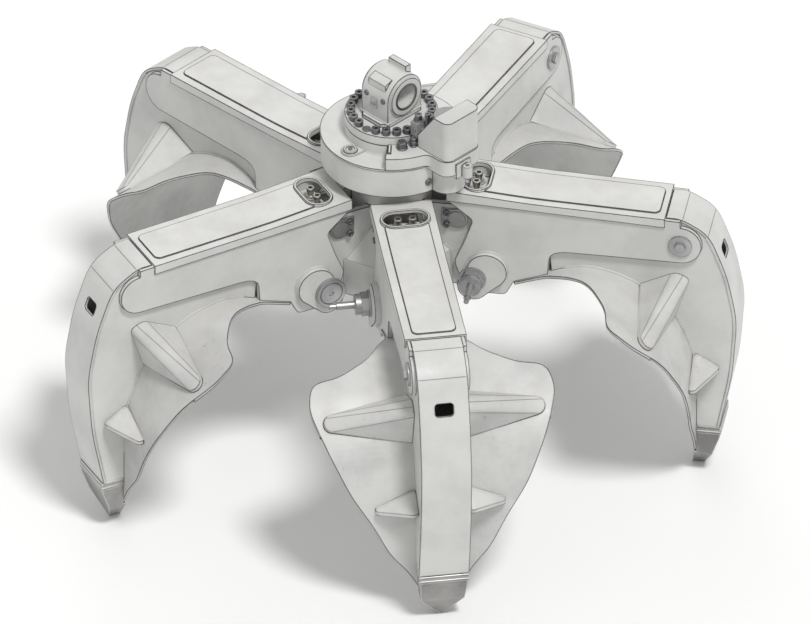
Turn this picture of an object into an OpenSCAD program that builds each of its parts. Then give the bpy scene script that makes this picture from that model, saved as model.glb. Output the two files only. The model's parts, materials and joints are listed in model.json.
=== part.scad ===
// Orange peel grapple with five tines on a rotating hub, wide open and standing on its tips.
// Heights count from the level of the tine pivots, and the origin is the centre of the hanger bore.
// In a tine the first number runs outward from its pivot and the second one upward.

/* [Hanger head] */
// Diameter of the hanger bore
bore_d = 85; // [60:1:100]
// Height of the bore centre above the head pad
bore_rise = 81; // [78:1:110]
// Thickness of the head along the bore
head_t = 125; // [110:1:130]
// Radius of the rounded top of the head
head_r = 80; // [76:1:88]
// Length over the two bore bosses
boss_len = 144; // [134:1:150]
// Radius of the bore bosses
boss_r = 70; // [62:1:74]
// Size of the head pad along the bore
pad_t = 132; // [128:1:140]
// Size of the head pad across the bore
pad_w = 194; // [186:1:200]
// Height of the head pad
pad_h = 13; // [8:1:20]
// Thickness of the round plate under the head
plate_h = 34; // [28:1:44]
// Number of bolt positions round the plate
head_bolt_n = 24; // [16:1:28]
// Radius of the bolt circle
head_bolt_circle = 139; // [136:1:142]
// Shank diameter of the head bolts
head_bolt_d = 20; // [14:1:20]

/* [Slew housing] */
// Radius of the neck on the housing
neck_r = 160; // [158:1:170]
// Height of the neck
neck_h = 41; // [30:1:55]
// Outer radius of the housing
housing_r = 241; // [238:1:250]
// Height of the housing
housing_h = 116; // [112:1:130]
// Wall of the housing
housing_wall = 12; // [8:1:14]
// Thickness of the housing roof
roof_t = 16; // [12:1:20]

/* [Slew drive] */
// Module of the slewing gear
gear_module = 6; // [5.8:0.1:6.2]
// Teeth on the slewing gear
ring_teeth = 68; // [66:1:69]
// Teeth on the pinion
pinion_teeth = 15; // [14:1:16]
// Face width of the slewing gear
gear_w = 42; // [36:1:46]
// Radius to the bearing balls
ball_circle = 170; // [168:0.5:172]
// Diameter of a bearing ball
ball_d = 18; // [14:1:20]
// Number of bearing balls
ball_n = 48; // [36:1:50]
// Diameter of the pinion shaft
shaft_d = 40; // [30:1:50]
// Diameter of the rotary motor body
motor_d = 100; // [84:1:104]
// Height of the motor above its bracket
motor_h = 126; // [100:1:140]
// Thickness of the motor bracket
bracket_h = 47; // [40:1:56]
// Plate of the motor guard
guard_t = 8; // [5:1:10]
// Height of the motor guard above the bracket
guard_h = 157; // [150:1:175]

/* [Hub] */
// Height of the housing underside above the tine pivots
hub_top = 389; // [386:1:400]
// Distance from the axis to the flat walls of the hub base
base_apothem = 221; // [214:1:223]
// Radius of the hub column
column_r = 136; // [130:1:142]
// Depth of the hub base below the tine pivots
base_drop = 63; // [55:1:66]
// Thickness of each hub ear
ear_t = 20; // [16:1:21]
// Radius of the ear round the tine pivot
ear_pivot_r = 65; // [60:1:70]
// Radius of the ear round the cylinder base pin
ear_base_r = 54; // [50:1:58]
// Radius of the swivel core
core_r = 40; // [34:1:46]
// Radius of the swivel sleeve
sleeve_r = 78; // [68:1:84]

/* [Tine] */
// Distance from the axis to a tine pivot
pivot_r = 298; // [296:1:306]
// Inner half width between the arm plates
arm_in = 78; // [77:0.5:80]
// Thickness of the arm plates
arm_t = 22; // [18:1:24]
// Half width over the spine box
spine_out = 84; // [82:1:90]
// Thickness of the spine plates
spine_t = 20; // [12:1:22]
// Thickness of the pivot doublers
doubler_t = 22; // [14:1:26]
// Thickness of the bowl plate
leaf_t = 10; // [8:1:14]
// Thickness of the back strip
strip_t = 10; // [8:1:14]
// Plate of the cylinder cover
cover_t = 8; // [5:1:10]
// Radius of the arm end round the rod pin
arm_end_r = 72; // [66:1:76]
// Half width of the tooth where it meets the tine
tooth_half = 85; // [78:1:90]
// Height of the tooth
tooth_h = 204; // [190:1:215]

/* [Pins and cylinder] */
// Diameter of the tine pivot pin
pivot_pin_d = 70; // [60:1:74]
// Wall of the pivot bush
bush_t = 8; // [5:1:10]
// Diameter of the cylinder base pin
base_pin_d = 60; // [50:1:64]
// Diameter of the rod pin
rod_pin_d = 60; // [52:1:64]
// Outer diameter of the cylinder barrel
barrel_d = 100; // [94:1:104]
// Bore of the cylinder barrel
cylinder_bore = 80; // [70:1:84]
// Diameter of the piston rod
rod_d = 55; // [45:1:60]
// Length of the barrel from its base pin to its front face
barrel_len = 560; // [520:1:580]

/* [Fits] */
// Radial clearance of a running fit
run_gap = 0.05; // [0.02:0.01:0.1]
// Clearance between neighbours that only seat
seat_gap = 0.3; // [0.1:0.05:0.5]
// Radial play of the rod eye round its pin
eye_play = 16; // [15.5:0.5:18]
// Play of the gear teeth at the pitch circle
tooth_play = 0.8; // [0.6:0.1:1]

/* [Hidden] */
$fn = 64;
TINE_NODES = [for (k = [1:5]) for (piece = ["frame", "shell", "tip", "cover", "pivot_pin", "rod_pin"])
    str("tine_", k, "_", piece)];
CYLINDER_NODES = [for (k = [1:5]) for (piece = ["barrel", "rod"]) str("cylinder_", k, "_", piece)];

steel = [0.80, 0.80, 0.78];
shade = [0.62, 0.63, 0.63];
dark = [0.30, 0.31, 0.32];
bright = [0.86, 0.87, 0.88];
bronze = [0.72, 0.52, 0.28];

// Tines stand every 72 degrees, the first one a half pitch from the bore axis
tine_n = 5;
tine_pitch = 360 / tine_n;
first_tine = tine_pitch / 2;

// Levels of the stacked middle group
roof_z = hub_top + housing_h;
neck_z = roof_z + neck_h;
plate_z = neck_z + plate_h;
pad_z = plate_z + pad_h;
bore_z = pad_z + bore_rise;
bracket_z = roof_z + bracket_h;

// Slewing gear and pinion
ring_pitch_r = gear_module * ring_teeth / 2;
pinion_pitch_r = gear_module * pinion_teeth / 2;
ring_add = 0.8 * gear_module;
pinion_add = gear_module;
tooth_ded = 1.25 * gear_module;
pinion_dist = ring_pitch_r + pinion_pitch_r;
pinion_angle = 4.6;
pinion_at = pinion_dist * [cos(pinion_angle), sin(pinion_angle)];
pinion_tip_r = pinion_pitch_r + pinion_add;
lobe_wall = 8;
lobe_in = pinion_tip_r + 1;
lobe_r = lobe_in + lobe_wall;
lobe_top = roof_z - 14;
lobe_roof = 12;
motor_hole_r = pinion_tip_r + 4;
motor_flange_h = 14;
flange_r = ring_pitch_r - 4;
flange_h = 16;
flange_z = hub_top + 1;
gear_z = flange_z + flange_h;
housing_mouth_r = flange_r + 6;
bearing_gap = 4;
bearing_in = 125;

// Hub
base_top = 80;
slope_top = 190;
sleeve_floor = 100;
ear_out = arm_in - 2;
ear_in = ear_out - ear_t;
base_pin_at = [pivot_r - 60, 216];
bush_out = pivot_pin_d / 2 + bush_t;

// Tine outline, each point counted from the pivot
leaf_line = [[139, -13], [243, 25], [328, 59], [396, 70], [484, 53], [569, 15], [695, -102],
    [756, -260], [764, -383], [764, -668]];
back_line = [[661, 301], [713, 301], [810, 243], [872, 76], [906, -104], [889, -332], [844, -556]];
cover_line = [[-94, 342], [192, 320], [659, 306]];
// Straight sides lie this far inside the round that they run into
blend_step = 0.5;
// Reach of the rounded corners of the bowl plate
bowl_bend = 50;
hub_end_line = [[-94, 301], [-2, 226], [-33, 134], [-67, 49], [-26, -70], [110, -70], leaf_line[0]];
rod_pin_at = [712, 199];
spine_end = -556;
leaf_end = leaf_line[9][1];
tip_z = spine_end - tooth_h;
arm_out = arm_in + arm_t;
spine_in = spine_out - spine_t;
doubler_out = arm_out + doubler_t;
cover_in = arm_out + 1;
cover_out = cover_in + 6;

// Cylinder, drawn from its base pin toward the rod pin
base_pin_local = base_pin_at - [pivot_r, 0];
cylinder_line = rod_pin_at - base_pin_local;
cylinder_len = norm(cylinder_line);
cylinder_angle = atan2(cylinder_line[1], cylinder_line[0]);
eye_r = 48;
eye_half = 50;

// Turns each inner corner of a path into a short curve that starts bend before the corner
function unit(v) = v / norm(v);
function round_path(p, bend, n = 4) = concat([p[0]],
    [for (i = [1:len(p) - 2])
        let (a = p[i] + min(bend, norm(p[i - 1] - p[i]) / 2.5) * unit(p[i - 1] - p[i]),
            c = p[i] + min(bend, norm(p[i + 1] - p[i]) / 2.5) * unit(p[i + 1] - p[i]))
        for (j = [0:n]) let (s = j / n) (1 - s) * (1 - s) * a + 2 * s * (1 - s) * p[i] + s * s * c],
    [p[len(p) - 1]]);

// Moves a path sideways, to the right of its direction
function right_of(v) = [v[1], -v[0]] / norm(v);
function shift_path(p, d) = [for (i = [0:len(p) - 1])
    let (a = right_of(p[max(i, 1)] - p[max(i, 1) - 1]),
        b = right_of(p[min(i + 1, len(p) - 1)] - p[min(i, len(p) - 2)]))
    p[i] + d * (a + b) / (1 + a * b)];
function reversed(p) = [for (i = [len(p) - 1:-1:0]) p[i]];

leaf_path = round_path(leaf_line, 60, 6);
back_path = round_path(back_line, 60, 6);
cover_path = round_path(cover_line, 60, 2);

// Half angle of an involute tooth at radius r, in degrees
pressure = 20;
function involute(c) = tan(c) * 180 / PI - c;
function tooth_angle(n, r) = let (base = gear_module * n / 2 * cos(pressure))
    90 / n + involute(pressure) - involute(r > base ? acos(base / r) : 0)
    - tooth_play / 2 / (gear_module * n) * 180 / PI;
function gear_outline(n, add, n_step = 5) = let (pitch_r = gear_module * n / 2,
    root = pitch_r - tooth_ded, depth = add + tooth_ded)
    [for (i = [0:n - 1]) for (side = [-1, 1]) for (j = [0:n_step])
        let (r = root + depth * (side < 0 ? j : n_step - j) / n_step,
            a = i * 360 / n + side * tooth_angle(n, r))
        r * [cos(a), sin(a)]];

// Places children with the hub, or on each tine, or on one cylinder
module in_frame() {
    translate([0, 0, -bore_z]) children();
}
module round_hub() {
    in_frame() for (k = [1:tine_n]) rotate([0, 0, first_tine + tine_pitch * (k - 1)]) children();
}
module in_tine(k) {
    in_frame() rotate([0, 0, first_tine + tine_pitch * (k - 1)]) translate([pivot_r, 0, 0]) children();
}
module in_cylinder(k) {
    in_tine(k) translate([base_pin_local[0], 0, base_pin_local[1]])
        rotate([0, -cylinder_angle, 0]) children();
}

// An upright outline given thickness from one side distance to another
module across(from, to) {
    translate([0, to, 0]) rotate([90, 0, 0]) linear_extrude(to - from) children();
}
module both_sides(from, to) {
    across(from, to) children();
    across(-to, -from) children();
}
module cross_pin(r, from, to, at = [0, 0]) {
    translate([at[0], to, at[1]]) rotate([90, 0, 0]) cylinder(r = r, h = to - from);
}
module level(from, to) {
    translate([0, 0, from]) linear_extrude(to - from) children();
}
module along(r, from, to) {
    translate([from, 0, 0]) rotate([0, 90, 0]) cylinder(r = r, h = to - from);
}

// Two circles joined by their outer tangents
module strap(c1, r1, c2, r2) {
    a = atan2(c2[1] - c1[1], c2[0] - c1[0]);
    b = acos((r1 - r2) / norm(c2 - c1));
    translate(c1) circle(r1);
    translate(c2) circle(r2);
    polygon([for (e = [[c1, r1, b], [c2, r2, b], [c2, r2, -b], [c1, r1, -b]])
        e[0] + (e[1] - blend_step) * [cos(a + e[2]), sin(a + e[2])]]);
}
module round_box(x0, x1, y0, y1, r) {
    translate([x0 + r, y0]) square([x1 - x0 - 2 * r, y1 - y0]);
    translate([x0, y0 + r]) square([x1 - x0, y1 - y0 - 2 * r]);
    for (x = [x0 + r, x1 - r]) for (y = [y0 + r, y1 - r]) translate([x, y]) circle(r);
}
module hex(r, h) {
    cylinder(r = r, h = h, $fn = 6);
}

// Round plate, pad and bored head block
module hanger_head() {
    rib_half = 41;
    rib_t = 24;
    rib_rise = 96;
    low_rib = [[-70, 0], [-70, 60], [-38, 74], [-38, 0]];
    pad_cut = 24;
    color(steel) in_frame() difference() {
        union() {
            translate([0, 0, neck_z]) cylinder(r = neck_r, h = plate_h);
            level(plate_z - 1, pad_z) pad_outline(pad_cut);
            head_block(head_r, head_t);
            translate([-boss_len / 2, 0, bore_z]) rotate([0, 90, 0]) cylinder(r = boss_r, h = boss_len);
            translate([-rib_half, 39 - rib_t / 2, bore_z]) cube([2 * rib_half, rib_t, rib_rise]);
            translate([-rib_half, 0, bore_z]) rotate([90, 0, 90]) linear_extrude(2 * rib_half)
                polygon(low_rib);
        }
        translate([-boss_len, 0, bore_z]) rotate([0, 90, 0]) cylinder(d = bore_d, h = 2 * boss_len);
        head_bolt_holes(head_bolt_d / 2 + seat_gap);
    }
}
module pad_outline(cut) {
    x = pad_t / 2;
    y = pad_w / 2;
    polygon([[x - cut, -y], [x, cut - y], [x, y - cut], [x - cut, y], [cut - x, y], [-x, y - cut],
        [-x, cut - y], [cut - x, -y]]);
}
module head_block(r, t) {
    translate([-t / 2, 0, bore_z]) rotate([0, 90, 0]) cylinder(r = r, h = t);
    translate([-t / 2, -r, plate_z]) cube([t, 2 * r, bore_z - plate_z]);
}
module at_head_bolts(first, last) {
    pitch = 360 / head_bolt_n;
    for (i = [first:last]) rotate([0, 0, (i + 0.5) * pitch - 90])
        translate([head_bolt_circle, 0, 0]) children();
}
module head_bolt_holes(r) {
    at_head_bolts(1, head_bolt_n) translate([0, 0, roof_z + 6]) cylinder(r = r, h = 200);
}

// Socket head bolts, with a plain plug at one position
module head_bolts() {
    head = head_bolt_d * 0.75;
    color(dark) in_frame() {
        at_head_bolts(1, head_bolt_n - 1) difference() {
            union() {
                translate([0, 0, plate_z + seat_gap]) cylinder(r = head, h = head_bolt_d);
                translate([0, 0, roof_z + 8]) cylinder(d = head_bolt_d, h = plate_z - roof_z);
            }
            translate([0, 0, plate_z + head_bolt_d / 2]) hex(head_bolt_d * 0.4, head_bolt_d);
        }
        at_head_bolts(head_bolt_n, head_bolt_n) {
            translate([0, 0, plate_z + seat_gap]) cylinder(r = head, h = 5);
            translate([0, 0, plate_z - 20]) cylinder(d = head_bolt_d, h = 22);
        }
    }
}

// Housing of the slewing bearing, with the lobe that holds the pinion
module slew_housing() {
    lip = 3;
    lip_h = 8;
    mouth_t = 10;
    color(steel) in_frame() difference() {
        union() {
            translate([0, 0, hub_top]) cylinder(r = housing_r, h = housing_h);
            translate([0, 0, roof_z - lip_h]) cylinder(r = housing_r + lip, h = lip_h);
            translate([0, 0, roof_z - 1]) cylinder(r = neck_r, h = neck_h + 1);
            level(hub_top, lobe_top) lobe(lobe_r);
        }
        translate([0, 0, hub_top - 1]) cylinder(r = housing_mouth_r, h = mouth_t + 2);
        translate([0, 0, hub_top + mouth_t])
            cylinder(r = housing_r - housing_wall, h = housing_h - roof_t - mouth_t);
        level(hub_top + mouth_t, lobe_top - lobe_roof) lobe(lobe_in);
        translate([pinion_at[0], pinion_at[1], lobe_top - lobe_roof - 1])
            cylinder(r = motor_hole_r, h = 200);
        translate([0, 0, roof_z - roof_t - 1]) cylinder(r = core_r + 4, h = 200);
        translate([0, 0, neck_z - 17]) cylinder(r = core_r + 36, h = 20);
        at_head_bolts(1, head_bolt_n) translate([0, 0, roof_z + 6])
            cylinder(r = head_bolt_d / 2 + run_gap, h = 200);
    }
}
module lobe(r) {
    translate(pinion_at) circle(r);
    rotate(pinion_angle) translate([0, blend_step - r]) square([pinion_dist, 2 * (r - blend_step)]);
}

// Grease point on the housing roof and the plug in its side
module housing_plugs() {
    lens_half = 46;
    lens_r = 64;
    lens_h = 9;
    plug_r = 13;
    plug_angle = -13.6;
    lens_angle = -89;
    color(shade) in_frame() {
        rotate([0, 0, lens_angle]) translate([(neck_r + housing_r) / 2 - 4, 0, roof_z + seat_gap]) difference() {
            intersection() {
                translate([sqrt(lens_r * lens_r - lens_half * lens_half), 0, 0])
                    cylinder(r = lens_r, h = lens_h);
                translate([-sqrt(lens_r * lens_r - lens_half * lens_half), 0, 0])
                    cylinder(r = lens_r, h = lens_h);
            }
            translate([0, 0, lens_h - 4]) cylinder(r = 16, h = 20);
            translate([0, 0, -1]) cylinder(r = 8 + run_gap, h = 20);
        }
        rotate([0, 0, lens_angle]) translate([(neck_r + housing_r) / 2 - 4, 0, roof_z + seat_gap]) {
            cylinder(r = 8, h = lens_h);
            translate([0, 0, lens_h - 4]) hex(10, 12);
        }
    }
    color(dark) in_frame() rotate([0, 0, plug_angle]) translate([0, 0, hub_top + 41])
        along(plug_r, housing_r + seat_gap, housing_r + 7);
}

// Plate that carries the motor: a curved ring part that swells into a rounded lobe
lobe_half = 86;
lobe_corner = 40;
lobe_out = 334;
bracket_in = neck_r + seat_gap;
bracket_r = 248;
module bracket_outline() {
    fillet = 30;
    sweep = [-50, -15, 20, 52];
    intersection() {
        difference() {
            circle(bracket_r);
            circle(bracket_in);
        }
        polygon(concat([[0, 0]], [for (a = sweep) 2 * bracket_r * [cos(a), sin(a)]]));
    }
    round_box(bracket_in + 30, lobe_out, pinion_at[1] - lobe_half, pinion_at[1] + lobe_half, lobe_corner);
    for (side = [-1, 1]) {
        edge = pinion_at[1] + side * lobe_half;
        fy = edge + side * fillet;
        fx = sqrt(pow(bracket_r + fillet, 2) - fy * fy);
        difference() {
            polygon([[200, edge - side * 20], bracket_r * unit([fx, fy]), [fx, fy], [fx, edge - side * 20]]);
            translate([fx, fy]) circle(fillet);
        }
    }
}
module motor_bracket() {
    tab_angle = -47;
    tab_h = 6;
    tab = [50, 10];
    color(steel) in_frame() difference() {
        union() {
            level(roof_z + seat_gap, bracket_z) bracket_outline();
            level(lobe_top + seat_gap, roof_z + 1) difference() {
                round_box(bracket_in + 30, lobe_out, pinion_at[1] - lobe_half,
                    pinion_at[1] + lobe_half, lobe_corner);
                circle(housing_r + 3 + seat_gap);
            }
            rotate([0, 0, tab_angle]) translate([bracket_in + 6, -tab[1] / 2, roof_z + 10])
                cube([tab[0], tab[1], bracket_h + tab_h - 10]);
        }
        translate([pinion_at[0], pinion_at[1], lobe_top - 10]) cylinder(r = motor_hole_r, h = 300);
        at_bracket_bolts() translate([0, 0, roof_z - 50]) cylinder(r = 10 + seat_gap, h = 200);
    }
}
module at_bracket_bolts() {
    for (p = [[153, -102], [128, 134]]) translate([p[0], p[1], 0]) children();
}

// Bolts of the bracket and of the motor
module bracket_bolts() {
    color(dark) in_frame() {
        at_bracket_bolts() {
            translate([0, 0, bracket_z + seat_gap]) cylinder(r = 20, h = 4);
            translate([0, 0, bracket_z + 3]) hex(17, 24);
            translate([0, 0, roof_z + 2]) cylinder(r = 10, h = bracket_h);
        }
        translate([pinion_at[0], pinion_at[1], bracket_z + motor_flange_h + 2 * seat_gap])
            for (a = [45:90:315]) rotate([0, 0, a]) translate([motor_hole_r + 6, 0, 0]) hex(7, 7);
    }
}

// Orbital motor with its flange and port block
module slew_motor() {
    flange = motor_hole_r + 14;
    end_h = 22;
    port = [50, 44, 35];
    color(dark) in_frame() difference() {
        union() {
            translate([pinion_at[0], pinion_at[1], bracket_z + seat_gap]) {
                cylinder(r = flange, h = motor_flange_h);
                cylinder(d = motor_d, h = motor_h - end_h);
                translate([0, 0, motor_h - end_h - 1]) cylinder(d = motor_d - 8, h = end_h + 1);
                translate([0, 0, -20]) cylinder(r = motor_hole_r - seat_gap, h = 21);
            }
            translate([pinion_at[0] - motor_d / 2 - port[0] + 6, -46, plate_z + 2]) cube(port);
            translate([pinion_at[0] - motor_d / 2 - port[0] / 2, -24, plate_z + 2 + port[2] - 1]) {
                hex(15, 14);
                cylinder(r = 9, h = 26);
            }
        }
        translate([pinion_at[0], pinion_at[1], bracket_z - 30])
            cylinder(r = shaft_d / 2 + run_gap, h = 76);
    }
}

// Bent guard round the motor, open toward the head
module motor_guard() {
    x0 = 186;
    x1 = 330;
    y0 = pinion_at[1] - 80;
    y1 = pinion_at[1] + 80;
    slant = [77, 106];
    color(steel) in_frame() difference() {
        translate([0, 0, bracket_z + seat_gap]) linear_extrude(guard_h) guard_outline(x0, x1, y0, y1, 27);
        translate([0, 0, bracket_z - 1]) linear_extrude(guard_h + 1 - guard_t)
            guard_outline(x0 - 10, x1 - guard_t, y0 + guard_t, y1 - guard_t, 27 - guard_t);
        across(y0 - 1, y1 + 1) polygon([[x0 - 1, bracket_z + guard_h - slant[1]],
            [x0, bracket_z + guard_h - slant[1]], [x0 + slant[0], bracket_z + guard_h],
            [x0 + slant[0], bracket_z + guard_h + 2], [x0 - 1, bracket_z + guard_h + 2]]);
    }
}
module guard_outline(x0, x1, y0, y1, r) {
    translate([x0, y0]) square([x1 - x0 - r, y1 - y0]);
    translate([x0, y0 + r]) square([x1 - x0, y1 - y0 - 2 * r]);
    for (y = [y0 + r, y1 - r]) translate([x1 - r, y]) circle(r);
}

// Pinion on the motor shaft
module slew_pinion() {
    color(shade) in_frame() translate([pinion_at[0], pinion_at[1], gear_z + 2]) {
        rotate([0, 0, pinion_angle + 180]) linear_extrude(gear_w - 4)
            polygon(gear_outline(pinion_teeth, pinion_add));
        cylinder(d = shaft_d, h = bracket_z + 40 - gear_z);
    }
}

// Fixed ring of the slewing bearing
module slew_ring() {
    color(shade) in_frame() difference() {
        translate([0, 0, gear_z + 4]) cylinder(r = ball_circle - bearing_gap,
            h = roof_z - roof_t - gear_z - 4 - seat_gap);
        translate([0, 0, gear_z]) cylinder(r = bearing_in, h = 200);
        ball_race();
    }
}
module ball_race() {
    translate([0, 0, gear_z + gear_w / 2]) rotate_extrude() translate([ball_circle, 0])
        circle(ball_d / 2 + seat_gap);
}

// Rotating ring with the slewing teeth
module slew_gear() {
    color(shade) in_frame() difference() {
        translate([0, 0, gear_z]) rotate([0, 0, pinion_angle + 180 / ring_teeth]) linear_extrude(gear_w)
            polygon(gear_outline(ring_teeth, ring_add, 3));
        translate([0, 0, gear_z - 1]) cylinder(r = ball_circle + bearing_gap, h = gear_w + 2);
        ball_race();
        at_ring_bolts() translate([0, 0, gear_z - 1]) cylinder(r = 5 + run_gap, h = gear_w / 2 + 1);
    }
}
module slew_balls() {
    color(bright) in_frame() for (i = [1:ball_n]) rotate([0, 0, i * 360 / ball_n])
        translate([ball_circle, 0, gear_z + gear_w / 2]) sphere(d = ball_d);
}

// Bolts that hold the slewing gear on the hub flange
ring_bolt_n = 20;
module at_ring_bolts() {
    for (i = [1:ring_bolt_n]) rotate([0, 0, (i + 0.5) * 360 / ring_bolt_n])
        translate([(ball_circle + bearing_gap + ring_pitch_r - tooth_ded) / 2, 0, 0]) children();
}
module ring_bolts() {
    color(dark) in_frame() at_ring_bolts() {
        translate([0, 0, flange_z - 9]) hex(9, 9 - seat_gap);
        translate([0, 0, flange_z - 1]) cylinder(r = 5, h = flange_h + gear_w / 2 - 2);
    }
}

// Hub: five sided base, sloped shoulder, column, top flange and ten ears
module hub_body() {
    corner = base_apothem / cos(180 / tine_n);
    column_corner = column_r / cos(180 / tine_n);
    trim = pivot_r - 50;
    hollow_r = 110;
    pocket_half = ear_in + 4;
    pocket_floor = base_top + 24;
    color(steel) difference() {
        union() {
            in_frame() rotate([0, 0, first_tine]) {
                difference() {
                    union() {
                        translate([0, 0, -base_drop])
                            cylinder(r = corner, h = base_drop + base_top, $fn = 5);
                        translate([0, 0, base_top])
                            cylinder(r1 = corner, r2 = column_corner, h = slope_top - base_top, $fn = 5);
                    }
                    for (k = [1:tine_n]) rotate([0, 0, tine_pitch * k]) {
                        translate([trim, -pocket_half, -base_drop - 1]) cube([100, 2 * pocket_half, 300]);
                        translate([column_r - 30, -pocket_half, pocket_floor])
                            cube([200, 2 * pocket_half, 150]);
                    }
                }
                translate([0, 0, base_top]) cylinder(r = column_r, h = flange_z - base_top + 1);
                translate([0, 0, flange_z]) cylinder(r = flange_r, h = flange_h);
            }
            round_hub() both_sides(ear_in, ear_out) ear_outline();
        }
        in_frame() {
            translate([0, 0, -base_drop - 1]) cylinder(r = hollow_r, h = sleeve_floor + base_drop - 18);
            translate([0, 0, 0]) cylinder(r = core_r, h = 200);
            translate([0, 0, sleeve_floor]) cylinder(r = sleeve_r + seat_gap, h = 400);
            at_ring_bolts() translate([0, 0, flange_z - 1]) cylinder(r = 5 + run_gap, h = flange_h + 2);
        }
        round_hub() {
            cross_pin(bush_out + run_gap, -ear_out - 1, ear_out + 1, [pivot_r, 0]);
            cross_pin(base_pin_d / 2 + run_gap, -ear_out - 1, ear_out + 1, base_pin_at);
        }
    }
}
module ear_outline() {
    strap([pivot_r, 0], ear_pivot_r, base_pin_at, ear_base_r);
    top = base_pin_at[1] + ear_base_r - 2 * blend_step;
    polygon([[column_r - 20, 8 - base_drop], [pivot_r, 2 - base_drop], [base_pin_at[0], top], [column_r - 20, top]]);
}

// Round plate that closes the hub from below, with its bolts
module hub_cover() {
    plate_r = 140;
    bolt_circle = 125;
    color(shade) in_frame() {
        translate([0, 0, -base_drop - 10]) cylinder(r = plate_r, h = 10 - seat_gap);
        for (i = [1:10]) rotate([0, 0, i * 36]) translate([bolt_circle, 0, -base_drop - 16]) hex(9, 7);
    }
}

// Flanged bushes in the hub ears
module pivot_bushes() {
    flange = bush_out + 9;
    color(bronze) round_hub() for (side = [0, 1]) mirror([0, side, 0]) difference() {
        union() {
            cross_pin(bush_out, ear_in, ear_out, [pivot_r, 0]);
            cross_pin(flange, ear_out, arm_in - seat_gap, [pivot_r, 0]);
        }
        cross_pin(pivot_pin_d / 2 + run_gap, ear_in - 1, arm_in + 1, [pivot_r, 0]);
    }
}

// Pins that hold the cylinder bases in the hub ears, with a keeper plate and two screws at each end
module base_pins() {
    keeper_r = base_pin_d / 2 + 8;
    keeper_t = 9;
    keeper_reach = 52;
    screw_at = [-35, 24];
    end = ear_out + keeper_t;
    color(dark) round_hub() {
        cross_pin(base_pin_d / 2, -end - 3, end + 3, base_pin_at);
        both_sides(ear_out + seat_gap, end) translate(base_pin_at) {
            circle(keeper_r);
            translate([-keeper_reach, 2 - keeper_r]) square([keeper_reach, 2 * keeper_r - 4]);
        }
        for (side = [0, 1]) mirror([0, side, 0]) for (up = [-1, 1])
            translate([base_pin_at[0] + screw_at[0], end - 1, base_pin_at[1] + up * screw_at[1]])
                rotate([-90, 0, 0]) hex(10, 8);
    }
}

// Swivel that carries oil from the fixed head to the turning hub
module swivel_core() {
    color(bright) in_frame() {
        translate([0, 0, sleeve_floor + 20]) cylinder(r = core_r, h = neck_z - sleeve_floor - 20 - seat_gap);
        translate([0, 0, neck_z - 16]) cylinder(r = core_r + 34, h = 16 - seat_gap);
    }
}
module swivel_sleeve() {
    color(shade) in_frame() difference() {
        translate([0, 0, sleeve_floor + seat_gap]) cylinder(r = sleeve_r, h = flange_z - sleeve_floor - seat_gap);
        translate([0, 0, sleeve_floor - 1]) cylinder(r = core_r + run_gap, h = 400);
    }
}

// Two hose fittings, one above the other, on the column behind each cylinder base
module hub_fittings() {
    foot = column_r + seat_gap;
    color(dark) round_hub() for (up = [129, 190]) translate([0, 0, up]) {
        rotate([0, 90, 0]) translate([0, 0, foot]) cylinder(r = 14, h = 20, $fn = 6);
        along(8, foot + 1, foot + 36);
    }
}

// Welded tine frame: arm plates, spine plates, back strip and pivot doublers
module tine_frame(k) {
    strip_half = spine_out + 3;
    color(steel) in_tine(k) difference() {
        union() {
            both_sides(arm_in, arm_out) arm_outline();
            both_sides(spine_in, spine_out) polygon(spine_outline());
            across(-strip_half, strip_half)
                polygon(concat(back_path, reversed(shift_path(back_path, strip_t))));
            both_sides(arm_out - 1, doubler_out) strap([49, 32], 68, [0, -34], 53);
            translate([leaf_line[9][0], -spine_in - 1, spine_end + 110]) cube([98, 2 * spine_in + 2, 12]);
        }
        cross_pin(pivot_pin_d / 2 + run_gap, -200, 200);
        cross_pin(rod_pin_d / 2 + run_gap, -200, spine_out, rod_pin_at);
        strip_window();
    }
}
// Round rod end of the arm, straight underside, curved root and the notched hub end
module arm_outline() {
    top = shift_path(cover_path, cover_t);
    under = rod_pin_at[1] - arm_end_r;
    root = round_path([[rod_pin_at[0], under], [262, under], [256, 31]], 70);
    leaf_part = reversed([for (p = leaf_path) if (p[0] < 256) p]);
    rounded = round_path(concat([top[0]], hub_end_line), 16);
    hub_part = reversed([for (i = [1:len(rounded) - 1]) rounded[i]]);
    translate(rod_pin_at) circle(arm_end_r);
    polygon(concat(top, [[rod_pin_at[0], 296]], root, leaf_part, hub_part));
}
function spine_outline() = concat(
    [for (p = leaf_path) if (p[0] > 256 && p[1] > spine_end) p], [[leaf_line[9][0], spine_end]],
    reversed(shift_path(back_path, strip_t / 2)), [[620, 150], [256, 150]]);
// Rounded hole in the steep stretch of the back strip
module strip_window() {
    half = [23, 32];
    a = back_line[2];
    b = back_line[3];
    mid = a + 0.65 * (b - a);
    translate([mid[0], 0, mid[1]]) rotate([0, atan2(a[1] - b[1], b[0] - a[0]), 0])
        translate([0, 0, -25]) linear_extrude(50) round_box(-half[0], half[0], -half[1], half[1], 12);
}

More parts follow.
